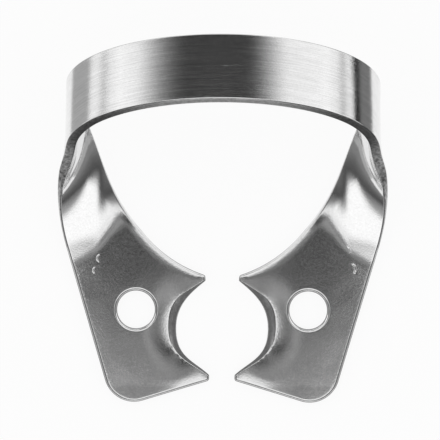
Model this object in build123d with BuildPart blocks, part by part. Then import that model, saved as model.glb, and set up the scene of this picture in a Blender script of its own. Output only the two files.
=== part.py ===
from build123d import *
from math import cos, radians, sin, tan
import os

# A rubber dam clamp: one piece of spring steel sheet, blanked flat and then bent.
# A leaning arch, the bow, joins two twisted legs, and each leg ends in a flat jaw.
# Frame: Z up and away from the gum, Y towards the bow, and X across the two jaws.
# The origin is on the tooth's axis, level with the underside of the jaws.

# Sheet
sheet_thickness = 0.8
edge_chamfer = 0.2

# Bow: half an ellipse seen along Y, in a plane that leans back. The strip stands square to it.
bow_half_span = 12.5
bow_rise = 8.4
bow_width = 5.75
bow_lean = 25.0
bow_foot_height = 5.6
bow_foot_setback = 16.9
bow_steps = 12
bow_lead_steps = 2

# Leg: both edges leave the bow along it and reach the jaw in its plane, and these are the
# lengths of their tangent handles
leg_drop = 2.9
leg_front_reach = 5.7
leg_back_reach = 5.0
leg_steps = 9

# Jaw: the corners' places are those of the sharp outline, before rounding
shoulder_setback = 6.4
jaw_side_angle = 16.5
neck_width = 5.95
neck_angle = 40.0
neck_run = 0.8
corner_half_width = 8.6
corner_forward = 6.45
corner_radius = 2.4

# Prongs: the blunt ends of the jaw's two points, before the seat is ground between them
back_prong_half_gap = 1.35
back_prong_setback = 4.25
front_prong_half_gap = 1.0
front_prong_forward = 4.13
prong_radius = 0.25

# Seat: the rim of the hollow at the underside. Each half is a curve from the middle to the
# tip, with a tangent handle at each end.
seat_half_gap = 3.63
seat_back_handle = 1.7
seat_front_handle = 2.4
back_tip_half_gap = 1.12
back_tip_setback = 4.11
back_tip_angle = 52.0
back_tip_handle = 2.1
front_tip_half_gap = 0.76
front_tip_forward = 4.05
front_tip_angle = 44.0
front_tip_handle = 1.9

# Bevel: the seat's wall leans back, so the rim on top is wider, with middle handles of its own
bevel_width = 0.62
bevel_setback = 0.2
bevel_tip_width = 0.12
bevel_back_handle = 2.6
bevel_front_handle = 2.8

# Forceps hole
hole_radius = 1.5
hole_half_spacing = 6.85
hole_setback = 1.5
hole_chamfer = 0.2

# Worked out from the sizes above
bow_mid_half_span = bow_half_span - sheet_thickness / 2
bow_mid_rise = bow_rise - sheet_thickness / 2
lean_slope = tan(radians(bow_lean))
bow_reach = Vector(0, -cos(radians(bow_lean)), sin(radians(bow_lean))) * (bow_width / 2)


def heading(angle):
    """Direction in the jaw's plane: forwards, turned inwards by an angle from the Y axis."""
    return Vector(-sin(radians(angle)), -cos(radians(angle)), 0)


# The jaw's corners, on the middle of the sheet
side_run = (shoulder_setback + corner_forward) / cos(radians(jaw_side_angle))
corner = Vector(corner_half_width, -corner_forward, sheet_thickness / 2)
shoulder = corner - heading(jaw_side_angle) * side_run
neck = shoulder + heading(jaw_side_angle + 90) * neck_width

# The leg's two edges, on the middle of the sheet
bow_foot = Vector(bow_mid_half_span, bow_foot_setback, bow_foot_height)
down_the_bow = Vector(0, -lean_slope, -1)
front_edge = Bezier(
    bow_foot + bow_reach,
    bow_foot + bow_reach + down_the_bow * leg_drop,
    shoulder - heading(jaw_side_angle) * leg_front_reach,
    shoulder,
)
back_edge = Bezier(
    bow_foot - bow_reach,
    bow_foot - bow_reach + down_the_bow * leg_drop,
    neck - heading(neck_angle) * leg_back_reach,
    neck,
)

# The right half's sections from the top of the bow to the jaw: where the front and the back
# edge are, and their directions there
sections = []
for step in range(-bow_lead_steps, bow_steps + 1):
    turn = radians(90 * step / bow_steps)
    rise = bow_mid_rise * cos(turn)
    middle = Vector(
        bow_mid_half_span * sin(turn),
        bow_foot_setback + lean_slope * rise,
        bow_foot_height + rise,
    )
    fall = bow_mid_rise * sin(turn)
    travel = Vector(bow_mid_half_span * cos(turn), -lean_slope * fall, -fall).normalized()
    sections.append((middle + bow_reach, middle - bow_reach, travel, travel))
for step in range(1, leg_steps + 1):
    share = step / leg_steps
    sections.append((
        front_edge.position_at(share, position_mode=PositionMode.PARAMETER),
        back_edge.position_at(share, position_mode=PositionMode.PARAMETER),
        front_edge.tangent_at(share, position_mode=PositionMode.PARAMETER),
        back_edge.tangent_at(share, position_mode=PositionMode.PARAMETER),
    ))

with BuildPart() as strip:
    for front, back, front_travel, back_travel in sections:
        across = front - back
        travel = front_travel + back_travel
        along = (travel - across * (travel.dot(across) / across.dot(across))).normalized()
        # An edge that crosses the section at a slant is cut wider by it
        front_chamfer = edge_chamfer / along.dot(front_travel)
        back_chamfer = edge_chamfer / along.dot(back_travel)
        reach = across.length / 2
        wall = sheet_thickness / 2 - edge_chamfer
        with BuildSketch(Plane(origin=(front + back) / 2, x_dir=across, z_dir=along)):
            Polygon(
                (-reach, -wall),
                (back_chamfer - reach, -sheet_thickness / 2),
                (reach - front_chamfer, -sheet_thickness / 2),
                (reach, -wall),
                (reach, wall),
                (reach - front_chamfer, sheet_thickness / 2),
                (back_chamfer - reach, sheet_thickness / 2),
                (-reach, wall),
                align=None,
            )
    loft()
    split(bisect_by=Plane.YZ)

# The right jaw, with chamfers all along its outline but for the seam with the strip
with BuildPart() as jaw:
    with BuildSketch():
        with BuildLine():
            side = Line((shoulder.X, shoulder.Y), (corner.X, corner.Y))
            front = Line(side @ 1, (front_prong_half_gap, -front_prong_forward))
            gap = Line(front @ 1, (back_prong_half_gap, back_prong_setback))
            run = PolarLine((neck.X, neck.Y), neck_run, direction=heading(neck_angle))
            TangentArc(run @ 1, gap @ 1, tangent=run % 1)
            Line(run @ 0, side @ 0)
        make_face()
        fillet(vertices().sort_by_distance((corner.X, corner.Y))[0], corner_radius)
        fillet(vertices().sort_by(Axis.X)[:2], prong_radius)
    extrude(amount=sheet_thickness)
    seam = Plane(origin=shoulder, z_dir=heading(jaw_side_angle))
    chamfer(edges().filter_by(Plane.XY) - faces().filter_by(seam)[0].edges(), edge_chamfer)
    with Locations((hole_half_spacing, hole_setback, sheet_thickness)):
        Hole(hole_radius)
    chamfer(edges(Select.LAST).filter_by(GeomType.CIRCLE), hole_chamfer)

# What is ground away from the right jaw: the walls run straight from one rim to the other
rims = (
    (0, 0, 0, 0, seat_front_handle, seat_back_handle),
    (
        sheet_thickness,
        bevel_width,
        bevel_setback,
        bevel_tip_width,
        bevel_front_handle,
        bevel_back_handle,
    ),
)
with BuildPart() as grind:
    for height, width, setback, tip_width, front_handle, back_handle in rims:
        middle = Vector(seat_half_gap + width, setback)
        back_tip = Vector(back_tip_half_gap, back_tip_setback + tip_width)
        front_tip = Vector(front_tip_half_gap, -front_tip_forward - tip_width)
        with BuildSketch(Plane.XY.offset(height)):
            with BuildLine():
                Bezier(
                    front_tip,
                    front_tip - heading(front_tip_angle) * front_tip_handle,
                    middle - Vector(0, front_handle),
                    middle,
                )
                Bezier(
                    middle,
                    middle + Vector(0, back_handle),
                    back_tip + heading(-back_tip_angle) * back_tip_handle,
                    back_tip,
                )
                Line(back_tip, front_tip)
            make_face()
    loft(ruled=True)

with BuildPart() as clamp:
    add(strip.part)
    add(jaw.part)
    add(grind.part, mode=Mode.SUBTRACT)
    mirror(about=Plane.YZ)
clamp.part.label = "clamp"

os.makedirs("parts", exist_ok=True)
export_step(clamp.part, "parts/clamp.step")
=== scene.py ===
import math

import bmesh
import bpy
import numpy as np
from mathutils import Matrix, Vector
from mathutils.geometry import delaunay_2d_cdt


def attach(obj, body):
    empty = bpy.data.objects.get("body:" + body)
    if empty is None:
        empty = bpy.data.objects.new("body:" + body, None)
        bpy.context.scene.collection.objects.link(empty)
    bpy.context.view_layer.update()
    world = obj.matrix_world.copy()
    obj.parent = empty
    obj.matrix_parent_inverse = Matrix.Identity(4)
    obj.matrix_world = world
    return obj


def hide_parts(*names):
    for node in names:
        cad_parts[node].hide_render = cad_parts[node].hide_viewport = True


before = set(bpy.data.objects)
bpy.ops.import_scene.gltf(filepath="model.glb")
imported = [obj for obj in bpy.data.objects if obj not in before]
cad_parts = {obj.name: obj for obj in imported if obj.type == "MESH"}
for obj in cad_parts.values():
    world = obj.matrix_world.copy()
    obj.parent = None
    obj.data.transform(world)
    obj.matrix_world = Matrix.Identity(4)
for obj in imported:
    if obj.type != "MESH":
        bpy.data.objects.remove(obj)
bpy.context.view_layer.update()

# A rubber dam clamp, dressed as one dense mesh of spring steel in the place of the plain solid.
# Lengths of the clamp are in millimetres, as in its drawing, and the mesh is in metres.
# Z is up, Y runs towards the bow, and X across the two jaws.
METRES_PER_MM = 0.001

# Sheet
SHEET_THICKNESS = 0.8
EDGE_RADIUS = 0.24
BOW_EDGE_RADIUS = 0.11

# Bow: a hair smaller than the solid's, because its edges are blunted less
BOW_HALF_SPAN = 12.475
BOW_RISE = 8.36
BOW_WIDTH = 5.68
BOW_LEAN = 25.0
BOW_FOOT_HEIGHT = 5.6
BOW_FOOT_SETBACK = 16.9

# Leg
LEG_DROP = 2.9
LEG_FRONT_REACH = 5.61
LEG_BACK_REACH = 5.0
# The front edge is eased where it leaves the bow: rounds, pull of each, and stations on each side
EASE_ROUNDS = 90
EASE_PULL = 0.25
EASE_SPAN = 34
# The back edge swells inwards between two shares of the leg's length
BACK_SWELL = 0.32
BACK_SWELL_FROM = 0.1
BACK_SWELL_TO = 0.9
INWARDS = np.array([-0.875, 0.484, 0])

# Jaw
SHOULDER_SETBACK = 6.4
JAW_SIDE_ANGLE = 16.5
NECK_WIDTH = 5.95
NECK_ANGLE = 40.0
NECK_RUN = 0.8
CORNER_HALF_WIDTH = 8.6
CORNER_FORWARD = 6.445
CORNER_RADIUS = 2.4

# Prongs
BACK_PRONG = (1.35, 4.25)
FRONT_PRONG = (1.0, -4.13)
PRONG_RADIUS = 0.25

# Seat: the rim at the foot, and what the bevel adds to it on top
SEAT_HALF_GAP = 3.63
SEAT_BACK_HANDLE = 1.7
SEAT_FRONT_HANDLE = 2.4
BACK_TIP = (1.12, 3.97)
BACK_TIP_ANGLE = 52.0
BACK_TIP_HANDLE = 2.1
FRONT_TIP = (0.76, -3.92)
FRONT_TIP_ANGLE = 44.0
FRONT_TIP_HANDLE = 1.9
BEVEL_WIDTH = 0.62
BEVEL_SETBACK = 0.2
BEVEL_TIP_WIDTH = 0.12
BEVEL_BACK_HANDLE = 2.6
BEVEL_FRONT_HANDLE = 2.8

# Forceps hole
HOLE_RADIUS = 1.5
HOLE_PLACE = (6.85, 1.5)
HOLE_EDGE_RADIUS = 0.27

# Polishing has rolled edges over on top: the back edge from the leg to the back prong, the
# seat's rim, and the front edge by its prong. Each has a width and a depth.
BACK_ROLL = (0.9, 0.058)
SEAT_ROLL = (2.4, 0.14)
FRONT_ROLL = (1.2, 0.045)
# Shares of its line over which a roll grows, and over which the seat's mostly fades again
BACK_ROLL_GROWS = (0.1, 0.55)
SEAT_ROLL_GROWS = (0.12, 0.45)
SEAT_ROLL_FADES = (0.48, 0.88)
SEAT_ROLL_FADE = 0.85
FRONT_ROLL_GROWS = (0.1, 0.9)
# Where the back roll starts on the leg and the front one on the jaw's outline, in samples
BACK_ROLL_LEAD = 20
FRONT_ROLL_LEAD = 58
FRONT_ROLL_TAIL = 3
# The sheet begins to bend up a little before the leg, at a slant and more gently inside
BEND_START = 5.7
BEND_FULL = 7.0
BEND_FADE = 8.6
BEND_END = 12.5
BEND_SLANT = 0.6
BEND_MIDDLE = 9.6
BEND_SLOPE = 0.1
BEND_STRETCH = 2.6
BEND_INNER = 7.6
BEND_OUTER = 10.4
BEND_SLANT_GROWS = (2.0, 5.0)
BEND_SAMPLES = 300
# Between these heights the leg stops following the bend
BEND_RELEASE = (1.0, 6.0)
# The jaw's top is crowned a hair
CROWN_CENTRE = 0.6
CROWN_HALF_LENGTH = 5.2
CROWN_HEIGHT = 0.03

# Nicks in the jaws' tops: x and y, tilt in degrees, length, width, depth and bend of the groove
NICKS = (
    (-9.99, 5.6, -10, 0.27, 0.034, 0.02, 1.6),
    (-10.3, 4.6, -4, 0.22, 0.034, 0.018, 1.6),
    (10.15, 6.3, 20, 0.24, 0.034, 0.02, -1.4),
    (10.6, 4.9, 14, 0.32, 0.045, 0.03, -1.2),
)

# The polish starts a little before the bow's end and is full after a run
POLISH_LEAD = 2.2
POLISH_RUN = 3.4
# How much of its sheared look the strip's front wall loses by the jaw, and from which share of
# the leg on. What it keeps there by the jaw is partly painted shade.
WALL_DRESSING = 0.5
WALL_DRESSING_FROM = 0.5
# How sheared a jaw's edge below its top roundings looks; its dark tone there is partly painted
# shade
JAW_EDGE_SHEAR_AND_SHADE = 0.5

# Fineness of the mesh
BOW_STATIONS = 90
LEG_STATIONS = 70
FLAT_STEPS = 40
FLAT_EASE = 0.65
ROUND_STEPS = 7
ROUND_EASE = 1.8
WALL_STEPS = 3
HOLE_STEPS = 96
FACE_SPACING = 0.15
NICK_SPACING = 0.035
NICK_REACH = 0.34
SEAT_STEPS = 90
SEAT_LEAD_STEPS = 24
RIM_STEPS = 300
HOLLOW_DEPTH = 0.02
SIDE_STEPS = 110
CORNER_STEPS = 40
FRONT_STEPS = 70
PRONG_STEPS = 24
GAP_STEPS = 200
BACK_HOLLOW_STEPS = 80
NECK_RUN_STEPS = 8
# The seat's rim takes over from this far along the front run to this far before the back
# prong's rounding ends, in samples
SEAT_FROM_FRONT = 60
SEAT_PAST_PRONG = 8
# The level of the edge's rounding whose height is also the rounding of the seat's rim
SEAT_ROUND_LEVEL = 4
# How many levels at the top are left clear of the sheared look and its painted shade, and how many
# at each end aren't ground
TOP_LEVELS = 6
GROUND_MARGIN = 4
# Points of a flat face keep this share of the spacing clear of its outline
RIM_CLEARANCE = 0.6
# Vertices that are worked at a time
BATCH = 4000
# Tolerances
LEVEL_NORMAL = 0.9999
LEVEL_HEIGHT = 0.0001
STRAIGHT = 1e-6
WELD_METRES = 1e-7
TRIANGULATION = 1e-9
# How far shading follows the larger faces
NORMAL_WEIGHT = 90


def turned(degrees):
    """Direction in the jaw's plane: forwards, turned inwards by an angle from the Y axis."""
    a = math.radians(degrees)
    return np.array([-math.sin(a), -math.cos(a)])


def unit(v):
    return v / np.linalg.norm(v, axis=-1, keepdims=True)


def smooth_step(value, low, high):
    share = np.clip((value - low) / (high - low), 0, 1)
    return share * share * (3 - 2 * share)


def bezier(points, share):
    """A cubic's points and directions at the given shares of its parameter."""
    a, b, c, d = (np.asarray(p, float) for p in points)
    t = np.asarray(share, float)[:, None]
    s = 1 - t
    place = a * s**3 + 3 * b * s**2 * t + 3 * c * s * t**2 + d * t**3
    travel = (b - a) * s**2 + 2 * (c - b) * s * t + (d - c) * t**2
    return place, unit(travel)


# The jaw's corners, on the middle of the sheet
MIDDLE = SHEET_THICKNESS / 2
SIDE = turned(JAW_SIDE_ANGLE)
SEAM = turned(JAW_SIDE_ANGLE + 90)
CORNER = np.array([CORNER_HALF_WIDTH, -CORNER_FORWARD])
SHOULDER = CORNER - SIDE * (SHOULDER_SETBACK + CORNER_FORWARD) / math.cos(
    math.radians(JAW_SIDE_ANGLE)
)
NECK = SHOULDER + SEAM * NECK_WIDTH
NECK_SLANT = math.radians(NECK_ANGLE - JAW_SIDE_ANGLE)


def stations():
    """Front and back edge and their directions, from the top of the bow to the right jaw."""
    slope = math.tan(math.radians(BOW_LEAN))
    half_span, rise = BOW_HALF_SPAN - MIDDLE, BOW_RISE - MIDDLE
    turn = np.linspace(0, math.pi / 2, BOW_STATIONS + 1)
    sine, cosine = np.sin(turn), np.cos(turn)
    middle = np.stack([
        half_span * sine,
        BOW_FOOT_SETBACK + slope * rise * cosine,
        BOW_FOOT_HEIGHT + rise * cosine,
    ], axis=1)
    travel = unit(np.stack([half_span * cosine, -slope * rise * sine, -rise * sine], axis=1))
    lean = math.radians(BOW_LEAN)
    reach = np.array([0, -math.cos(lean), math.sin(lean)]) * (BOW_WIDTH / 2)
    front, back = middle + reach, middle - reach
    share = np.linspace(0, 1, LEG_STATIONS + 1)[1:]
    drop = np.array([0, -slope, -1]) * LEG_DROP
    ends = []
    for foot, end, angle, reach in (
        (front[-1], SHOULDER, JAW_SIDE_ANGLE, LEG_FRONT_REACH),
        (back[-1], NECK, NECK_ANGLE, LEG_BACK_REACH),
    ):
        end = np.array([*end, MIDDLE])
        handle = end - np.array([*turned(angle), 0]) * reach
        ends.append(bezier((foot, foot + drop, handle, end), share))
    (leg_front, front_travel), (leg_back, back_travel) = ends
    lump = np.clip((share - BACK_SWELL_FROM) / (BACK_SWELL_TO - BACK_SWELL_FROM), 0, 1)
    leg_back = leg_back + BACK_SWELL * np.sin(math.pi * lump)[:, None] ** 2 * INWARDS
    front, back = np.vstack([front, leg_front]), np.vstack([back, leg_back])
    away = np.abs(np.arange(len(front)) - BOW_STATIONS) / EASE_SPAN
    pull = (EASE_PULL * smooth_step(1 - away, 0.0, 0.5))[1:-1, None]
    for _ in range(EASE_ROUNDS):
        front[1:-1] += pull * (front[:-2] + front[2:] - 2 * front[1:-1])
    front_travel = np.vstack([travel[:2], unit(front[3:] - front[1:-2]), front_travel[-1:]])
    back_travel = np.vstack([travel[:2], unit(back[3:] - back[1:-2]), back_travel[-1:]])
    return front, back, front_travel, back_travel


def round_levels(radius):
    """Inset and height of each level of the sheet's edge, from the underside to the top."""
    angle = np.linspace(0, 1, ROUND_STEPS + 1) ** ROUND_EASE * math.pi / 2
    inset = radius * (1 - np.sin(angle))
    rise = radius * (1 - np.cos(angle))
    wall = np.linspace(radius, SHEET_THICKNESS - radius, WALL_STEPS + 1)[1:-1]
    inset = np.concatenate([inset, np.zeros(len(wall)), inset[::-1]])
    height = np.concatenate([rise, wall, SHEET_THICKNESS - rise[::-1]])
    return inset, height


INSET, HEIGHT = round_levels(EDGE_RADIUS)
EVEN = np.linspace(0, 1, FLAT_STEPS + 1)[1:-1]
FLAT = EVEN - FLAT_EASE * np.sin(2 * math.pi * EVEN) / (2 * math.pi)


class Mesh:
    """Vertices and faces gathered piece by piece, in millimetres.

    A vertex is kept as its foot on the middle of the sheet, the sheet's normal there, its
    height over the foot, its brush mark (lengthwise, across, and how polished it is) and its
    finish and shade: how far it is on a sheared edge, whose dark tone is partly painted shade,
    and how far on the ground seat.
    """

    def __init__(self):
        self.rows, self.faces, self.count = [], [], 0

    def add(self, feet, normals, heights, marks, finish_and_shade):
        table = np.column_stack([
            np.asarray(feet).reshape(-1, 3),
            np.asarray(normals).reshape(-1, 3),
            np.asarray(heights).reshape(-1),
            np.asarray(marks).reshape(-1, 3),
            np.asarray(finish_and_shade).reshape(-1, 2),
        ])
        self.rows.append(table)
        self.count += len(table)
        return self.count - len(table)

    def add_flat(self, places, finish_and_shade=None):
        """Points of a jaw, whose sheet lies level."""
        places = np.asarray(places, float).reshape(-1, 3)
        finish_and_shade = np.zeros((len(places), 2)) if finish_and_shade is None else finish_and_shade
        level = np.full(len(places), MIDDLE)
        return self.add(
            np.column_stack([places[:, :2], level]),
            np.tile([0.0, 0.0, 1.0], (len(places), 1)),
            places[:, 2] - MIDDLE,
            np.tile([0.0, 0.0, 1.0], (len(places), 1)),
            finish_and_shade,
        )

    def weave(self, base, high, wide, closed=False, flip=False):
        """Quads over rows of points; a closed row's last point joins its first."""
        for i in range(high - 1):
            for j in range(wide if closed else wide - 1):
                k = (j + 1) % wide
                a, b = base + i * wide, base + (i + 1) * wide
                quad = (a + j, a + k, b + k, b + j)
                self.faces.append(quad[::-1] if flip else quad)


def section(front, back, front_travel, back_travel, radius):
    """The closed loop of a section: feet, normal, heights, and places across the strip."""
    inset, height = round_levels(radius)
    across = front - back
    travel = front_travel + back_travel
    along = unit(travel - across * (travel @ across) / (across @ across))
    width = np.linalg.norm(across)
    across = across / width
    normal = np.cross(along, across)
    front_stretch = 1 / (along @ front_travel)
    back_stretch = 1 / (along @ back_travel)
    front_side = width / 2 - inset * front_stretch
    back_side = inset * back_stretch - width / 2
    top = front_side[-1] + (back_side[-1] - front_side[-1]) * FLAT
    bottom = back_side[0] + (front_side[0] - back_side[0]) * FLAT
    reach = np.concatenate([front_side, top, back_side[::-1], bottom])
    height = np.concatenate([
        height,
        np.full(len(top), SHEET_THICKNESS),
        height[::-1],
        np.zeros(len(bottom)),
    ]) - MIDDLE
    return (front + back) / 2 + reach[:, None] * across, normal, height, reach


def build_strip(mesh):
    """Bow and legs from the left seam to the right one."""
    front, back, front_travel, back_travel = stations()
    middle = (front + back) / 2
    length = np.concatenate([[0], np.cumsum(np.linalg.norm(np.diff(middle, axis=0), axis=1))])
    bow_length = length[BOW_STATIONS]
    rows = []
    for i in range(len(front)):
        leg_share = min(max((i - BOW_STATIONS) / LEG_STATIONS, 0), 1)
        radius = BOW_EDGE_RADIUS + (EDGE_RADIUS - BOW_EDGE_RADIUS) * leg_share**2
        feet, normal, height, reach = section(
            front[i], back[i], front_travel[i], back_travel[i], radius,
        )
        polish = min(max((length[i] - bow_length + POLISH_LEAD) / POLISH_RUN, 0), 1)
        polish = polish * polish * (3 - 2 * polish)
        count = len(reach)
        shear_and_shade = np.zeros(count)
        # The front wall is what lies between the middles of its two roundings
        index = np.arange(count)
        wall = (index > ROUND_STEPS // 2) & (index < len(HEIGHT) - 1 - ROUND_STEPS // 2)
        # By the jaws the wall keeps half of its dark sheared look, which is partly painted shade
        shear_and_shade[wall] = 1 - WALL_DRESSING * smooth_step(leg_share, WALL_DRESSING_FROM, 1.0)
        rows.append(np.column_stack([
            feet,
            np.tile(normal, (count, 1)),
            height,
            np.full(count, length[i]),
            reach,
            np.full(count, polish),
            shear_and_shade,
            np.zeros(count),
        ]))
    # The left half has the X of its feet and normals and its length along the strip reversed
    mirror = np.array([-1, 1, 1, -1, 1, 1, 1, -1, 1, 1, 1, 1])
    both = np.array([row * mirror for row in rows[:0:-1]] + rows)
    high, wide = both.shape[:2]
    base = mesh.add(both[..., :3], both[..., 3:6], both[..., 6], both[..., 7:10], both[..., 10:])
    mesh.weave(base, high, wide, closed=True)


def left_of(direction):
    return np.stack([-direction[..., 1], direction[..., 0]], axis=-1)


def line(start, end, steps):
    """Points and outward normals along a straight run, its end left out."""
    start, end = np.asarray(start, float), np.asarray(end, float)
    share = np.linspace(0, 1, steps + 1)[:-1, None]
    return start + (end - start) * share, np.repeat(left_of(unit(end - start))[None], steps, axis=0)


def arc(centre, radius, start, end, steps, outward):
    """Points and outward normals round an arc, its end left out. Angles are in radians."""
    angle = np.linspace(start, end, steps + 1)[:-1]
    spoke = np.stack([np.cos(angle), np.sin(angle)], axis=1)
    return centre + radius * spoke, spoke * outward


def corner_arc(vertex, before, after, radius, steps):
    """The rounding of a corner between two straight runs: ends and the arc's samples."""
    half = math.acos(np.clip(-before @ after, -1, 1)) / 2
    reach = radius / math.tan(half)
    start, end = vertex - before * reach, vertex + after * reach
    centre = start - left_of(before) * radius
    first = math.atan2(*(start - centre)[::-1])
    last = math.atan2(*(end - centre)[::-1])
    if last > first:
        last -= 2 * math.pi
    return start, end, arc(centre, radius, first, last, steps, 1)


def plate_outline():
    """Samples of the jaw's outline from the shoulder round to the neck, without the seat.

    Gives the points, their outward normals, the two places between which the seat's rim
    takes over, and the place where the straight run into the neck starts.
    """
    front_prong, back_prong = np.array(FRONT_PRONG), np.array(BACK_PRONG)
    front_run = unit(front_prong - CORNER)
    gap_run = unit(back_prong - front_prong)
    run_start = NECK + turned(NECK_ANGLE) * NECK_RUN
    run = -turned(NECK_ANGLE)
    # The hollow arc from the back prong to the run, tangent to the run
    inward = -left_of(run)
    chord = back_prong - run_start
    hollow_radius = (chord @ chord) / (2 * (chord @ -inward))
    hollow_centre = run_start - inward * hollow_radius
    # The back prong's rounding, between the gap's run and the hollow arc
    spot = back_prong - left_of(gap_run) * PRONG_RADIUS - hollow_centre
    b = spot @ gap_run
    root = math.sqrt(b * b - spot @ spot + (hollow_radius + PRONG_RADIUS) ** 2)
    slide = min(-b - root, -b + root, key=abs)
    prong_centre = back_prong - left_of(gap_run) * PRONG_RADIUS + gap_run * slide
    towards = unit(hollow_centre - prong_centre)
    prong_first = math.atan2(*left_of(gap_run)[::-1])
    prong_last = math.atan2(towards[1], towards[0])
    if prong_last > prong_first:
        prong_last -= 2 * math.pi
    hollow_first = math.atan2(-towards[1], -towards[0])
    hollow_last = math.atan2(*(run_start - hollow_centre)[::-1])
    if hollow_last - hollow_first > math.pi:
        hollow_last -= 2 * math.pi
    if hollow_first - hollow_last > math.pi:
        hollow_last += 2 * math.pi
    round_start, round_end, rounding = corner_arc(
        CORNER, SIDE, front_run, CORNER_RADIUS, CORNER_STEPS,
    )
    tip_start, tip_end, tip = corner_arc(
        front_prong, front_run, gap_run, PRONG_RADIUS, PRONG_STEPS,
    )
    prong_start = prong_centre + left_of(gap_run) * PRONG_RADIUS
    parts = [
        line(SHOULDER, round_start, SIDE_STEPS),
        rounding,
        line(round_end, tip_start, FRONT_STEPS),
        tip,
        line(tip_end, prong_start, GAP_STEPS),
        arc(prong_centre, PRONG_RADIUS, prong_first, prong_last, PRONG_STEPS, 1),
        arc(hollow_centre, hollow_radius, hollow_first, hollow_last, BACK_HOLLOW_STEPS, -1),
        line(run_start, NECK, NECK_RUN_STEPS),
    ]
    counts = np.cumsum([len(part[0]) for part in parts])
    points = np.vstack([part[0] for part in parts] + [NECK[None]])
    normals = np.vstack([part[1] for part in parts] + [left_of(run)[None]])
    return points, normals, counts[1] + SEAT_FROM_FRONT, counts[5] + SEAT_PAST_PRONG, counts[6]


def rim(share_up, rounding):
    """The seat's rim at a share of the sheet's thickness, set back by its rounding."""
    middle = np.array([SEAT_HALF_GAP + BEVEL_WIDTH * share_up, BEVEL_SETBACK * share_up])
    back_tip = np.array(BACK_TIP) + [0, BEVEL_TIP_WIDTH * share_up]
    front_tip = np.array(FRONT_TIP) - [0, BEVEL_TIP_WIDTH * share_up]
    front_handle = SEAT_FRONT_HANDLE + (BEVEL_FRONT_HANDLE - SEAT_FRONT_HANDLE) * share_up
    back_handle = SEAT_BACK_HANDLE + (BEVEL_BACK_HANDLE - SEAT_BACK_HANDLE) * share_up
    share = np.linspace(0, 1, RIM_STEPS + 1)
    front_half, front_way = bezier((
        front_tip,
        front_tip - turned(FRONT_TIP_ANGLE) * FRONT_TIP_HANDLE,
        middle - [0, front_handle],
        middle,
    ), share)
    back_half, back_way = bezier((
        middle,
        middle + [0, back_handle],
        back_tip + turned(-BACK_TIP_ANGLE) * BACK_TIP_HANDLE,
        back_tip,
    ), share)
    places = np.vstack([front_half, back_half[1:]])
    ways = np.vstack([front_way, back_way[1:]])
    return places - left_of(ways) * rounding


def crossings(a, b):
    """Where two open lines of points cross: (place on a, place on b), in order along a."""
    p, r = a[:-1, None], np.diff(a, axis=0)[:, None]
    q, s = b[None, :-1], np.diff(b, axis=0)[None]
    cross = r[..., 0] * s[..., 1] - r[..., 1] * s[..., 0]
    gap = q - p
    with np.errstate(divide="ignore", invalid="ignore"):
        t = (gap[..., 0] * s[..., 1] - gap[..., 1] * s[..., 0]) / cross
        u = (gap[..., 0] * r[..., 1] - gap[..., 1] * r[..., 0]) / cross
    hits = np.argwhere((t >= 0) & (t < 1) & (u >= 0) & (u < 1))
    return [(i + t[i, j], j + u[i, j]) for i, j in hits]


def stretch(points, first, last, steps):
    """Even samples of a line of points between two places on it, both ends kept."""
    index = np.arange(len(points))
    keep = index[(index > first) & (index < last)]
    ends = [
        [np.interp(place, index, points[:, 0]), np.interp(place, index, points[:, 1])]
        for place in (first, last)
    ]
    run = np.vstack([ends[0], points[keep], ends[1]])
    length = np.concatenate([[0], np.cumsum(np.linalg.norm(np.diff(run, axis=0), axis=1))])
    even = np.linspace(0, length[-1], steps + 1)
    return np.stack([np.interp(even, length, run[:, i]) for i in (0, 1)], axis=1)


def jaw_contours():
    """The right jaw's outline at each level, each with the same number of points."""
    points, normals, seat_start, seat_end, run_start = plate_outline()
    across = unit(SHOULDER - NECK)
    seat_rounding = HEIGHT[SEAT_ROUND_LEVEL]
    contours = []
    for inset, height in zip(INSET, HEIGHT):
        near = min(height, SHEET_THICKNESS - height)
        rounding = 0.0
        if near < seat_rounding:
            rounding = seat_rounding - math.sqrt(seat_rounding**2 - (seat_rounding - near) ** 2)
        plate = points - normals * inset
        run_end = NECK + across * inset / math.cos(NECK_SLANT)
        share = np.linspace(0, 1, len(points) - run_start)[:, None]
        plate[run_start:] = plate[run_start] * (1 - share) + run_end * share
        edge = rim(height / SHEET_THICKNESS, rounding)
        hits = crossings(plate, edge)
        (first, rim_first), (last, rim_last) = hits[0], hits[-1]
        contour = np.vstack([
            plate[:seat_start],
            stretch(plate, seat_start, first, SEAT_LEAD_STEPS)[:-1],
            stretch(edge, rim_first, rim_last, 2 * SEAT_STEPS)[:-1],
            stretch(plate, last, seat_end, SEAT_LEAD_STEPS)[:-1],
            plate[seat_end:],
        ])
        contours.append(np.column_stack([contour, np.full(len(contour), height)]))
    seat_first = seat_start + SEAT_LEAD_STEPS
    return np.array(contours), seat_first, seat_first + 2 * SEAT_STEPS


def inside(points, loop):
    """Whether each point is inside a closed loop."""
    x, y = points[:, 0][:, None], points[:, 1][:, None]
    a, b = loop, np.roll(loop, -1, axis=0)
    above = (a[:, 1] > y) != (b[:, 1] > y)
    with np.errstate(divide="ignore", invalid="ignore"):
        cut = a[:, 0] + (y - a[:, 1]) * (b[:, 0] - a[:, 0]) / (b[:, 1] - a[:, 1])
    return ((above & (x < cut)).sum(axis=1) % 2).astype(bool)


def clear_of(points, loop, gap):
    """Whether each point is further than a gap from all of a loop's points."""
    return np.linalg.norm(points[:, None] - loop[None], axis=2).min(axis=1) > gap


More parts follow.
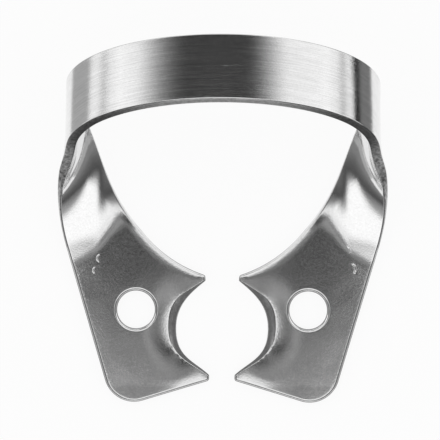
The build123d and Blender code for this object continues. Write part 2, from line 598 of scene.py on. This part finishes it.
def hollowed(loop):
    """The loop with its straight runs a hair hollow, so that no sliver lies along them."""
    before = unit(loop - np.roll(loop, 1, axis=0))
    after = np.roll(before, -1, axis=0)
    straight = np.abs(before[:, 0] * after[:, 1] - before[:, 1] * after[:, 0]) < STRAIGHT
    eased = loop.copy()
    first = 0
    while first < len(loop):
        last = first
        while last < len(loop) and straight[last]:
            last += 1
        share = (np.arange(first, last) - first + 1) / (last - first + 1)
        depth = HOLLOW_DEPTH * 4 * share * (1 - share)
        eased[first:last] -= left_of(after[first:last]) * depth[:, None]
        first = last + 1
    return eased


def cap(loop, hole, nicks):
    """Triangles over a flat face with one hole, with finer ones round each nick."""
    low, high = loop.min(axis=0), loop.max(axis=0)
    step_y = FACE_SPACING * math.sqrt(3) / 2
    xs = np.arange(low[0], high[0], FACE_SPACING)
    ys = np.arange(low[1], high[1], step_y)
    grid = np.array([
        (x + (FACE_SPACING / 2) * (row % 2), y) for row, y in enumerate(ys) for x in xs
    ])
    for x, y in nicks:
        even = np.arange(-NICK_REACH, NICK_REACH, NICK_SPACING)
        near = np.array([
            (x + a, y + b) for a in even for b in even if math.hypot(a, b) < NICK_REACH
        ])
        grid = grid[np.hypot(*(grid - [x, y]).T) > NICK_REACH + NICK_SPACING]
        grid = np.vstack([grid, near])
    grid = grid[inside(grid, loop) & ~inside(grid, hole)]
    gap = FACE_SPACING * RIM_CLEARANCE
    grid = grid[clear_of(grid, loop, gap) & clear_of(grid, hole, gap)]
    flat = np.vstack([loop, hole, grid])
    n, m = len(loop), len(hole)
    edges = [(i, (i + 1) % n) for i in range(n)]
    edges += [(n + i, n + (i + 1) % m) for i in range(m)]
    eased = flat.copy()
    eased[:n] = hollowed(loop)
    result = delaunay_2d_cdt([Vector(p) for p in eased], edges, [], 0, TRIANGULATION)
    faces = np.array([[result[3][v][0] for v in face] for face in result[2]])
    centres = eased[faces].mean(axis=1)
    faces = faces[inside(centres, eased[:n]) & ~inside(centres, hole)]
    a, b, c = (flat[faces[:, i]] for i in range(3))
    turn = (b[:, 0] - a[:, 0]) * (c[:, 1] - a[:, 1]) - (b[:, 1] - a[:, 1]) * (c[:, 0] - a[:, 0])
    faces[turn < 0] = faces[turn < 0][:, ::-1]
    return flat, faces


def build_jaw(mesh, side):
    """One jaw; side is 1 for the right one and -1 for the left."""
    mirror = np.array([side, 1, 1])
    flip = side < 0
    contours, seat_first, seat_last = jaw_contours()
    finish_and_shade = np.zeros((*contours.shape[:2], 2))
    # A jaw's edge below its top looks part sheared, darkened partly as painted shade of the floor
    # seen in it
    finish_and_shade[:-TOP_LEVELS, :, 0] = JAW_EDGE_SHEAR_AND_SHADE
    finish_and_shade[GROUND_MARGIN:-GROUND_MARGIN, seat_first + 1:seat_last] = (0, 1)
    base = mesh.add_flat(contours * mirror, finish_and_shade)
    mesh.weave(base, *contours.shape[:2], flip=not flip)
    spoke_angle = np.arange(HOLE_STEPS) * 2 * math.pi / HOLE_STEPS
    spoke = np.stack([np.cos(spoke_angle), np.sin(spoke_angle)], axis=1)
    share = INSET / EDGE_RADIUS
    hole_rise = HOLE_EDGE_RADIUS / EDGE_RADIUS
    rings = []
    for level, height in enumerate(HEIGHT):
        near = min(height, SHEET_THICKNESS - height)
        if near < EDGE_RADIUS:
            height = near * hole_rise if height < MIDDLE else SHEET_THICKNESS - near * hole_rise
        ring = np.array(HOLE_PLACE) + spoke * (HOLE_RADIUS + HOLE_EDGE_RADIUS * share[level])
        rings.append(np.column_stack([ring, np.full(HOLE_STEPS, height)]))
    rings = np.array(rings)
    mesh.weave(mesh.add_flat(rings * mirror), *rings.shape[:2], closed=True, flip=not flip)
    nicks = [(side * nick[0], nick[1]) for nick in NICKS if side * nick[0] > 0]
    for level, height, upward in ((-1, SHEET_THICKNESS, True), (0, 0.0, False)):
        loop = contours[level][:, :2]
        share = 1 - FLAT[::-1, None] if upward else FLAT[:, None]
        seam = loop[-1] + (loop[0] - loop[-1]) * share
        flat, faces = cap(np.vstack([loop, seam]), rings[level][:, :2], nicks if upward else [])
        places = np.column_stack([flat, np.full(len(flat), height)])
        base = mesh.add_flat(places * mirror)
        keep = upward != flip
        mesh.faces.extend(tuple(f + base if keep else f[::-1] + base) for f in faces)


def rolled_edges():
    """The edges that are rolled over on top: each one's line on the middle of the sheet, how
    strongly it is rolled at each point, and the width and depth of the roll."""
    _, back, _, _ = stations()
    leg = back[BOW_STATIONS - BACK_ROLL_LEAD:]
    points, _, seat_start, seat_end, _ = plate_outline()
    jaw = points[seat_end:][::-1]
    jaw = np.column_stack([jaw, np.full(len(jaw), MIDDLE)])
    back_strength = np.concatenate([
        smooth_step(np.linspace(0, 1, len(leg)), *BACK_ROLL_GROWS),
        np.ones(len(jaw) - 1),
    ])
    seat = rim(1.0, 0.0)
    seat = np.column_stack([seat, np.full(len(seat), MIDDLE)])
    along = np.linspace(0, 1, len(seat))
    seat_strength = smooth_step(along, *SEAT_ROLL_GROWS)
    seat_strength = seat_strength * (1 - SEAT_ROLL_FADE * smooth_step(along, *SEAT_ROLL_FADES))
    front = points[seat_start - FRONT_ROLL_LEAD:seat_start + FRONT_ROLL_TAIL]
    front = np.column_stack([front, np.full(len(front), MIDDLE)])
    front_strength = smooth_step(np.linspace(0, 1, len(front)), *FRONT_ROLL_GROWS)
    return (
        (np.vstack([leg, jaw[1:]]), back_strength, *BACK_ROLL),
        (seat, seat_strength, *SEAT_ROLL),
        (front, front_strength, *FRONT_ROLL),
    )


def worked(table):
    """Where the vertices end up once the sheet has been bent, rolled over and crowned."""
    feet, normals, heights = table[:, :3].copy(), table[:, 3:6], table[:, 6].copy()
    right = feet.copy()
    right[:, 0] = np.abs(right[:, 0])
    upper = np.clip(table[:, 6] / MIDDLE, 0, 1)
    lowered = np.zeros(len(feet))
    for edge, strength, width, depth in rolled_edges():
        for first in range(0, len(feet), BATCH):
            part = slice(first, first + BATCH)
            gap = np.linalg.norm(right[part, None] - edge[None], axis=2)
            nearest = gap.argmin(axis=1)
            near = 1 - np.clip(gap.min(axis=1) / width, 0, 1)
            roll = depth * strength[nearest] * near**2 * upper[part]
            lowered[part] = np.maximum(lowered[part], roll)
    heights -= lowered
    level = normals[:, 2] > LEVEL_NORMAL
    flat_top = level & (table[:, 6] > MIDDLE - LEVEL_HEIGHT)
    length_share = (right[:, 1] - CROWN_CENTRE) / CROWN_HALF_LENGTH
    heights -= CROWN_HEIGHT * np.clip(length_share, -1, 0) ** 2 * upper * level
    for x, y, tilt, length, width, depth, curl in NICKS:
        a = math.radians(tilt)
        dx, dy = feet[:, 0] - x, feet[:, 1] - y
        lengthwise = dy * math.cos(a) - dx * math.sin(a)
        sideways = dx * math.cos(a) + dy * math.sin(a) - curl * lengthwise**2
        groove = np.exp(-((sideways / width) ** 2) - (lengthwise / length) ** 4)
        heights -= depth * groove * flat_top
    places = feet + normals * heights[:, None]
    slant = BEND_SLANT * (right[:, 0] - BEND_MIDDLE) * smooth_step(right[:, 1], *BEND_SLANT_GROWS)
    longer = BEND_STRETCH + (1 - BEND_STRETCH) * smooth_step(right[:, 0], BEND_INNER, BEND_OUTER)
    run = np.linspace(BEND_START, BEND_END, BEND_SAMPLES)
    steep = BEND_SLOPE * smooth_step(run, BEND_START, BEND_FULL)
    steep = steep * (1 - smooth_step(run, BEND_FADE, BEND_END))
    climb = np.concatenate([[0], np.cumsum((steep[1:] + steep[:-1]) / 2 * np.diff(run))])
    lift = np.interp(BEND_START + (right[:, 1] + slant - BEND_START) / longer, run, climb)
    places[:, 2] += lift * (1 - smooth_step(places[:, 2], *BEND_RELEASE))
    return places * METRES_PER_MM


def mesh_object(name, mesh):
    """Blender's object of the gathered mesh, its seams welded."""
    data = bpy.data.meshes.new(name)
    table = np.vstack(mesh.rows)
    data.from_pydata(worked(table).tolist(), [], [tuple(int(i) for i in f) for f in mesh.faces])
    marks = data.attributes.new("brush", "FLOAT_VECTOR", "POINT")
    marks.data.foreach_set("vector", table[:, 7:10].astype(np.float32).ravel())
    finish_and_shade = data.attributes.new("finish_and_shade", "FLOAT_VECTOR", "POINT")
    finish_and_shade.data.foreach_set(
        "vector", np.column_stack([table[:, 10:], np.zeros(len(table))]).astype(np.float32).ravel(),
    )
    work = bmesh.new()
    work.from_mesh(data)
    bmesh.ops.remove_doubles(work, verts=work.verts, dist=WELD_METRES)
    bmesh.ops.recalc_face_normals(work, faces=work.faces)
    work.to_mesh(data)
    work.free()
    data.shade_smooth()
    thing = bpy.data.objects.new(name, data)
    bpy.context.scene.collection.objects.link(thing)
    return thing


shape = Mesh()
build_strip(shape)
build_jaw(shape, 1)
build_jaw(shape, -1)
clamp = mesh_object("clamp_steel", shape)
weigh = clamp.modifiers.new("weighted_normals", "WEIGHTED_NORMAL")
weigh.keep_sharp = True
weigh.weight = NORMAL_WEIGHT


class Nodes:
    """Short calls for a material's or a world's nodes."""

    def __init__(self, tree):
        self.tree = tree
        tree.nodes.clear()

    def add(self, kind, inputs=None, **settings):
        node = self.tree.nodes.new(kind)
        for name, value in settings.items():
            setattr(node, name, value)
        for name, value in (inputs or {}).items():
            socket = node.inputs[name]
            if isinstance(value, bpy.types.NodeSocket):
                self.tree.links.new(value, socket)
            else:
                socket.default_value = value
        return node

    def math(self, operation, *values, clamp=False):
        inputs = dict(enumerate(values))
        node = self.add("ShaderNodeMath", inputs, operation=operation, use_clamp=clamp)
        return node.outputs[0]

    def vector(self, operation, *values):
        node = self.add("ShaderNodeVectorMath", dict(enumerate(values)), operation=operation)
        return node.outputs[0]

    def noise(self, vector, scale, detail, roughness):
        node = self.add("ShaderNodeTexNoise", {
            "Vector": vector,
            "Scale": scale,
            "Detail": detail,
            "Roughness": roughness,
        })
        return node.outputs["Fac"]

    def mix(self, first, second, share):
        inputs = {"Factor": share, "A": first, "B": second}
        return self.add("ShaderNodeMix", inputs, data_type="FLOAT").outputs[0]

    def ramp(self, value, low, high, to_low=0.0, to_high=1.0, smooth=False):
        node = self.add("ShaderNodeMapRange", {
            "Value": value,
            "From Min": low,
            "From Max": high,
            "To Min": to_low,
            "To Max": to_high,
        }, interpolation_type="SMOOTHSTEP" if smooth else "LINEAR")
        return node.outputs["Result"]

    def smooth_ramp(self, value, low, high, to_low=0.0, to_high=1.0):
        return self.ramp(value, low, high, to_low, to_high, smooth=True)

    def attribute(self, name):
        """What the mesh holds under a name."""
        node = self.add("ShaderNodeAttribute", attribute_name=name, attribute_type="GEOMETRY")
        return node.outputs["Vector"]

    def place(self):
        """Where on its object a ray has landed."""
        return self.add("ShaderNodeTexCoord").outputs["Object"]

    def split(self, vector):
        """A vector's X, Y and Z."""
        return self.add("ShaderNodeSeparateXYZ", {0: vector}).outputs

    def grey(self, tone):
        return self.add("ShaderNodeCombineColor", {0: tone, 1: tone, 2: tone}).outputs[0]

    def bump(self, distance, height, **inputs):
        """The normal on bumps that are a height from 0 to 1 times a distance in metres."""
        inputs |= {"Strength": 1.0, "Distance": distance, "Height": height}
        return self.add("ShaderNodeBump", inputs).outputs[0]


# Steel: the bow's streaks, as features to the millimetre along the strip and across it
COARSE_STREAKS = (0.12, 8.0, 0.0)
FINE_STREAKS = (0.5, 30.0, 0.0)
# Noises: features to the millimetre, or to a streak, then detail and roughness
COARSE = (1.0, 3.0, 0.6)
FINE = (1.0, 2.0, 0.6)
GRAIN = (8.0, 3.0, 0.6)
MOTTLE = (3.5, 3.0, 0.7)
WAVE = (0.4, 1.0, 0.3)
CLOUDS = (1.3, 3.0, 0.6)
SPECKS = (6.0, 3.0, 0.8)
SMEARS = (5.0, 3.0, 0.6)
# Heights of the bumps, in metres
STREAK_BUMP = 0.000005
GRAIN_BUMP = 0.0000025
WAVE_BUMP = 0.000016
WORN_BUMP = 0.000004
# What most of a noise spans, and a narrower part of it, which makes more contrast
NOISE = (0.3, 0.7)
NOISE_CORE = (0.35, 0.65)
# Tones from black at 0 to white at 1
STEEL_TONE = (0.79, 0.82)
STREAK_TONE = (-0.12, 0.12)
SPECK_TONE = (-0.035, 0.035)
# On the lower edges of the legs and jaws this dark tone is partly painted shade
SHEARED_AND_SHADE_TONE = (0.05, 0.14)
# A sheared edge is brighter where the legs are polished, and in the middle of the bow
SHEARED_POLISH = (0.0, 0.3)
SHEARED_MIDDLE = (0.4, 0.0)
SHEARED_MIDDLE_RUN = (3.0, 11.0)
SHEARED_MIDDLE_MOTTLE = (0.8, 1.2)
GROUND_TONE = (0.3, 0.44)
ROUGHNESS = (0.08, 0.12)
STREAK_ROUGHNESS = (0.0, 0.04)
WORN_ROUGHNESS = 0.22


def steel_material():
    """Brushed along the bow, polished on the legs and jaws, dull on sheared and ground faces; the
    dark tone of the sheared edges is partly painted shade.
    """
    steel = bpy.data.materials.new("steel")
    steel.use_nodes = True
    n = Nodes(steel.node_tree)
    per_metre = 1 / METRES_PER_MM
    in_mm = n.vector("MULTIPLY", n.place(), (per_metre, per_metre, per_metre))
    mark = n.attribute("brush")
    marked = n.split(mark)
    along, polish = marked[0], marked[2]
    finish_and_shade = n.split(n.attribute("finish_and_shade"))
    shear_and_shade, ground = finish_and_shade[0], finish_and_shade[1]
    brushed = n.math("SUBTRACT", 1.0, polish)
    worn = n.math("ADD", shear_and_shade, ground, clamp=True)

    coarse = n.noise(n.vector("MULTIPLY", mark, COARSE_STREAKS), *COARSE)
    fine = n.noise(n.vector("MULTIPLY", mark, FINE_STREAKS), *FINE)
    streaks = n.math("ADD", n.math("MULTIPLY", coarse, 0.5), n.math("MULTIPLY", fine, 0.5))
    grain = n.noise(in_mm, *GRAIN)
    mottle = n.noise(in_mm, *MOTTLE)
    wave = n.noise(in_mm, *WAVE)
    clouds = n.noise(in_mm, *CLOUDS)
    specks = n.noise(in_mm, *SPECKS)
    smears = n.noise(in_mm, *SMEARS)

    normal = n.bump(STREAK_BUMP, n.math("MULTIPLY", streaks, brushed))
    normal = n.bump(GRAIN_BUMP, grain, Normal=normal)
    normal = n.bump(WAVE_BUMP, n.math("MULTIPLY", wave, polish), Normal=normal)
    normal = n.bump(WORN_BUMP, n.math("MULTIPLY", mottle, worn), Normal=normal)

    streak_tone = n.ramp(streaks, *NOISE_CORE, *STREAK_TONE)
    tone = n.ramp(clouds, *NOISE, *STEEL_TONE)
    tone = n.math("ADD", tone, n.math("MULTIPLY", streak_tone, brushed))
    tone = n.math("ADD", tone, n.ramp(specks, *NOISE_CORE, *SPECK_TONE))
    edge_tone = n.ramp(mottle, *NOISE_CORE, *SHEARED_AND_SHADE_TONE)
    polished_more = n.math("MULTIPLY", polish, n.ramp(mottle, *NOISE, *SHEARED_POLISH))
    edge_tone = n.math("ADD", edge_tone, polished_more)
    middle_more = n.math(
        "MULTIPLY",
        n.smooth_ramp(n.math("ABSOLUTE", along), *SHEARED_MIDDLE_RUN, *SHEARED_MIDDLE),
        n.ramp(mottle, *NOISE, *SHEARED_MIDDLE_MOTTLE),
    )
    edge_tone = n.math("ADD", edge_tone, middle_more)
    # The dark edge tone: the sheared finish, and on the lower edges of legs and jaws partly painted
    # shade
    tone = n.mix(tone, edge_tone, shear_and_shade)
    tone = n.mix(tone, n.ramp(mottle, *NOISE, *GROUND_TONE), ground)

    rough = n.ramp(smears, *NOISE, *ROUGHNESS)
    streak_rough = n.ramp(coarse, *NOISE, *STREAK_ROUGHNESS)
    rough = n.math("ADD", rough, n.math("MULTIPLY", streak_rough, brushed))
    rough = n.math("ADD", rough, n.math("MULTIPLY", worn, WORN_ROUGHNESS))
    shader = n.add("ShaderNodeBsdfPrincipled", {
        "Base Color": n.grey(tone),
        "Metallic": 1.0,
        "Roughness": rough,
        "Normal": normal,
    })
    n.add("ShaderNodeOutputMaterial", {"Surface": shader.outputs[0]})
    return steel


clamp.data.materials.append(steel_material())
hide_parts("clamp")
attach(clamp, "root")


def plain_sheet(name, half_x, half_y, place, material, turn=(0, 0, 0)):
    """A flat rectangle round a place; turn is in degrees about X, Y and Z."""
    data = bpy.data.meshes.new(name)
    corners = [(-half_x, -half_y), (half_x, -half_y), (half_x, half_y), (-half_x, half_y)]
    data.from_pydata([(x, y, 0) for x, y in corners], [], [(0, 1, 2, 3)])
    data.materials.append(material)
    thing = bpy.data.objects.new(name, data)
    thing.location = place
    thing.rotation_euler = [math.radians(angle) for angle in turn]
    bpy.context.scene.collection.objects.link(thing)
    return thing


# Stage, in metres. The paper's tone counts for the light that it scatters. Rays that show the
# background see it as pure white, by this share.
FLOOR_HALF_SIZE = 2.0
PAPER = 0.86
PAPER_WHITE_SHARE = 0.9
WORLD_LIGHT = 0.85


def background_rays(n):
    """1 for rays that show the background: the camera's, and those off metal or through glass."""
    path = n.add("ShaderNodeLightPath")
    seen = n.math("ADD", path.outputs["Is Camera Ray"], path.outputs["Is Glossy Ray"])
    return n.math("ADD", seen, path.outputs["Is Transmission Ray"], clamp=True)


def floor_material():
    """White paper."""
    material = bpy.data.materials.new("pale_floor")
    material.use_nodes = True
    n = Nodes(material.node_tree)
    paper = n.add("ShaderNodeBsdfDiffuse", {"Color": (PAPER, PAPER, PAPER, 1)})
    white = n.add("ShaderNodeEmission", {"Color": (1, 1, 1, 1), "Strength": 1.0})
    share = n.math("MULTIPLY", background_rays(n), PAPER_WHITE_SHARE)
    mixed = n.add("ShaderNodeMixShader", {0: share, 1: paper.outputs[0], 2: white.outputs[0]})
    n.add("ShaderNodeOutputMaterial", {"Surface": mixed.outputs[0]})
    return material


def hide_from_all_but_metal(thing):
    thing.visible_camera = False
    thing.visible_diffuse = False
    thing.visible_shadow = False


def card(name, tone, half_x, soft_x, half_y, soft_y, place, turn=(0, 0, 0)):
    """A plain card that only metal shows. It fades out over a soft rim on each side."""
    material = bpy.data.materials.new(name)
    material.use_nodes = True
    n = Nodes(material.node_tree)
    x, y = n.split(n.place())[:2]
    out = n.math(
        "MAXIMUM",
        n.smooth_ramp(n.math("ABSOLUTE", x), half_x - soft_x, half_x),
        n.smooth_ramp(n.math("ABSOLUTE", y), half_y - soft_y, half_y),
    )
    dark = n.add("ShaderNodeEmission", {"Color": (tone, tone, tone, 1), "Strength": 1.0})
    clear = n.add("ShaderNodeBsdfTransparent")
    mixed = n.add("ShaderNodeMixShader", {0: out, 1: dark.outputs[0], 2: clear.outputs[0]})
    n.add("ShaderNodeOutputMaterial", {"Surface": mixed.outputs[0]})
    hide_from_all_but_metal(plain_sheet(name, half_x, half_y, place, material, turn))


plain_sheet("floor", FLOOR_HALF_SIZE, FLOOR_HALF_SIZE, (0, 0, 0), floor_material())

# Overhead is a ceiling with dark parts, which the metal shows: a round one over the jaws, one on
# each side, one in front that joins them, and one behind for the middle of the bow. A pair is
# where a part begins to fade in or out and where it has done so.
CEILING_HEIGHT = 0.1
CEILING_HALF_SIZE = 0.3
ROUND_CENTRE = (0.0, 0.0025, 0.0)
ROUND_END = (0.0125, 0.0195)
SIDES_START = (0.019, 0.04)
SIDES_END = (0.04, 0.06)
# In front of this Y the side parts start further out, by this many times the way forward
SIDES_SPLAY_FROM = -0.014
SIDES_SPLAY = 1.2
FRONT_START = (0.052, 0.073)
FRONT_SLANT = 0.5
BEHIND_LEFT = (-0.205, -0.045)
BEHIND_RIGHT = (0.03, 0.11)
BEHIND_START = (0.09, 0.105)
# Where the parts' tones change, and between which tones
ROUND_TONE_SPAN = (-0.001, 0.0045)
ROUND_TONE = (0.2, 0.05)
ROUND_MIDDLE_SPAN = (0.001, 0.0055)
ROUND_MIDDLE_TONE = (0.16, 0.0)
ASIDE_SPAN = (0.06, 0.17)
ASIDE_TONE = (0.08, 0.24)
ASIDE_RIM_SPAN = (0.028, 0.062)
ASIDE_RIM_TONE = (0.3, 0.0)
BEHIND_TONE = 0.05
ROUND_TO_ASIDE = (0.018, 0.026)
ASIDE_TO_BEHIND = (0.04, 0.06)


def ceiling_material():
    """Clear but for the dark parts."""
    material = bpy.data.materials.new("ceiling")
    material.use_nodes = True
    n = Nodes(material.node_tree)
    place = n.place()
    x, y = n.split(place)[:2]
    aside = n.math("ABSOLUTE", x)
    off = n.vector("SUBTRACT", place, ROUND_CENTRE)
    far = n.add("ShaderNodeVectorMath", {0: off}, operation="LENGTH").outputs["Value"]

    over_jaws = n.smooth_ramp(far, *ROUND_END, 1.0, 0.0)
    behind = n.math(
        "MULTIPLY",
        n.math(
            "MULTIPLY",
            n.smooth_ramp(x, *BEHIND_LEFT),
            n.smooth_ramp(x, *BEHIND_RIGHT, 1.0, 0.0),
        ),
        n.smooth_ramp(y, *BEHIND_START),
    )
    forward = n.math("MAXIMUM", n.math("SUBTRACT", SIDES_SPLAY_FROM, y), 0.0)
    side = n.math("SUBTRACT", aside, n.math("MULTIPLY", forward, SIDES_SPLAY))
    front = n.math("SUBTRACT", n.math("MULTIPLY", aside, FRONT_SLANT), y)
    sides = n.math(
        "MULTIPLY",
        n.math(
            "MAXIMUM",
            n.smooth_ramp(side, *SIDES_START),
            n.smooth_ramp(front, *FRONT_START),
        ),
        n.smooth_ramp(y, *SIDES_END, 1.0, 0.0),
    )
    share = n.math("MAXIMUM", n.math("MAXIMUM", over_jaws, behind), sides)

    aside_tone = n.math(
        "ADD",
        n.ramp(aside, *ASIDE_SPAN, *ASIDE_TONE),
        n.ramp(aside, *ASIDE_RIM_SPAN, *ASIDE_RIM_TONE),
    )
    tone = n.ramp(y, *ROUND_TONE_SPAN, *ROUND_TONE)
    tone = n.math("ADD", tone, n.smooth_ramp(aside, *ROUND_MIDDLE_SPAN, *ROUND_MIDDLE_TONE))
    tone = n.mix(tone, aside_tone, n.ramp(far, *ROUND_TO_ASIDE))
    tone = n.mix(tone, BEHIND_TONE, n.ramp(y, *ASIDE_TO_BEHIND))

    clear = n.add("ShaderNodeBsdfTransparent")
    dark = n.add("ShaderNodeEmission", {"Color": n.grey(tone), "Strength": 1.0})
    mixed = n.add("ShaderNodeMixShader", {0: share, 1: clear.outputs[0], 2: dark.outputs[0]})
    n.add("ShaderNodeOutputMaterial", {"Surface": mixed.outputs[0]})
    return material


hide_from_all_but_metal(plain_sheet(
    "ceiling", CEILING_HALF_SIZE, CEILING_HALF_SIZE, (0, 0, CEILING_HEIGHT), ceiling_material(),
))

# Cards: tone, half width and its soft rim, half depth and its soft rim, place, and turn in degrees
CARDS = {
    # These stand on the horizon
    "card_horizon_right": (0.45, 0.05, 0.01, 0.13, 0.02, (0.28, -0.07, 0.05), (0, 90, 0)),
    "card_horizon_left": (0.45, 0.05, 0.01, 0.13, 0.02, (-0.28, -0.07, 0.05), (0, 90, 0)),
    # These lie on the floor round the object: a dark and a grey strip at the right, a lighter
    # one at the left, and a grey one under the jaws, which is a painted shadow that metal shows
    "card_floor_right_far": (0.02, 0.0095, 0.003, 0.05, 0.01, (0.0395, 0.01, 0.0003)),
    "card_floor_right_near": (0.2, 0.0075, 0.0015, 0.05, 0.01, (0.0265, 0.01, 0.0002)),
    "card_floor_left": (0.42, 0.0105, 0.0015, 0.05, 0.01, (-0.0275, 0.01, 0.0002)),
    # A painted shadow: this grey card stands in for the floor's shade under the jaws, as the metal
    # shows it
    "card_painted_shadow_under_jaws": (0.3, 0.015, 0.003, 0.0095, 0.003, (0, -0.0015, 0.0001)),
    # Wide ones darken the bow where it is seen from the side against the white ground, and two
    # more lie before and behind the object
    "card_floor_wide_left": (0.5, 0.26, 0.07, 0.4, 0.1, (-0.34, 0.01, 0.00005)),
    "card_floor_wide_right": (0.5, 0.26, 0.07, 0.4, 0.1, (0.34, 0.01, 0.00005)),
    "card_floor_front": (0.3, 0.03, 0.006, 0.012, 0.003, (0, -0.024, 0.0002)),
    "card_floor_back": (0.3, 0.03, 0.006, 0.012, 0.003, (0, 0.042, 0.0002)),
}
for name, settings in CARDS.items():
    card(name, *settings)


def soft_box(name, place, width, height, radiance):
    """A soft light that faces the object; a radiance of 1 is white."""
    data = bpy.data.lights.new(name, "AREA")
    data.shape = "RECTANGLE"
    data.size, data.size_y = width, height
    data.energy = radiance * math.pi * width * height
    thing = bpy.data.objects.new(name, data)
    thing.location = place
    thing.rotation_euler = (-Vector(place)).to_track_quat("-Z", "Y").to_euler()
    bpy.context.scene.collection.objects.link(thing)


# Lights: place, width, height and radiance
SOFT_BOXES = {
    "soft_box_left": ((-0.36, 0.05, 0.25), 0.5, 0.4, 0.16),
    "soft_box_right": ((0.36, 0.05, 0.25), 0.5, 0.4, 0.16),
    "soft_box_front": ((0, -0.2, 0.4), 0.6, 0.2, 0.2),
}
for name, settings in SOFT_BOXES.items():
    soft_box(name, *settings)

world = bpy.data.worlds.new("studio")
bpy.context.scene.world = world
world.use_nodes = True
n = Nodes(world.node_tree)
light = n.add("ShaderNodeBackground", {"Color": (1, 1, 1, 1), "Strength": WORLD_LIGHT})
white = n.add("ShaderNodeBackground", {"Color": (1, 1, 1, 1), "Strength": 1.0})
mixed = n.add("ShaderNodeMixShader", {
    0: background_rays(n),
    1: light.outputs[0],
    2: white.outputs[0],
})
n.add("ShaderNodeOutputWorld", {"Surface": mixed.outputs[0]})

# The camera looks straight down, from far off with a long lens. Places and widths are in metres,
# the lens and its sensor in millimetres, and the roll in degrees.
VIEW_WIDTH = 0.03503
VIEW_CENTRE = (-0.000206, 0.00865)
LENS = 1200.0
SENSOR = 36.0
ROLL = 0.3
NEAREST = 0.1
FARTHEST = 20.0
lens = bpy.data.cameras.new("camera")
lens.lens = LENS
lens.sensor_width = SENSOR
lens.clip_start = NEAREST
lens.clip_end = FARTHEST
camera = bpy.data.objects.new("camera", lens)
camera.location = (*VIEW_CENTRE, VIEW_WIDTH * LENS / SENSOR)
camera.rotation_euler = (0, 0, math.radians(ROLL))
bpy.context.scene.collection.objects.link(camera)
bpy.context.scene.camera = camera
bpy.context.scene.view_settings.view_transform = "Standard"

bpy.context.view_layer.update()
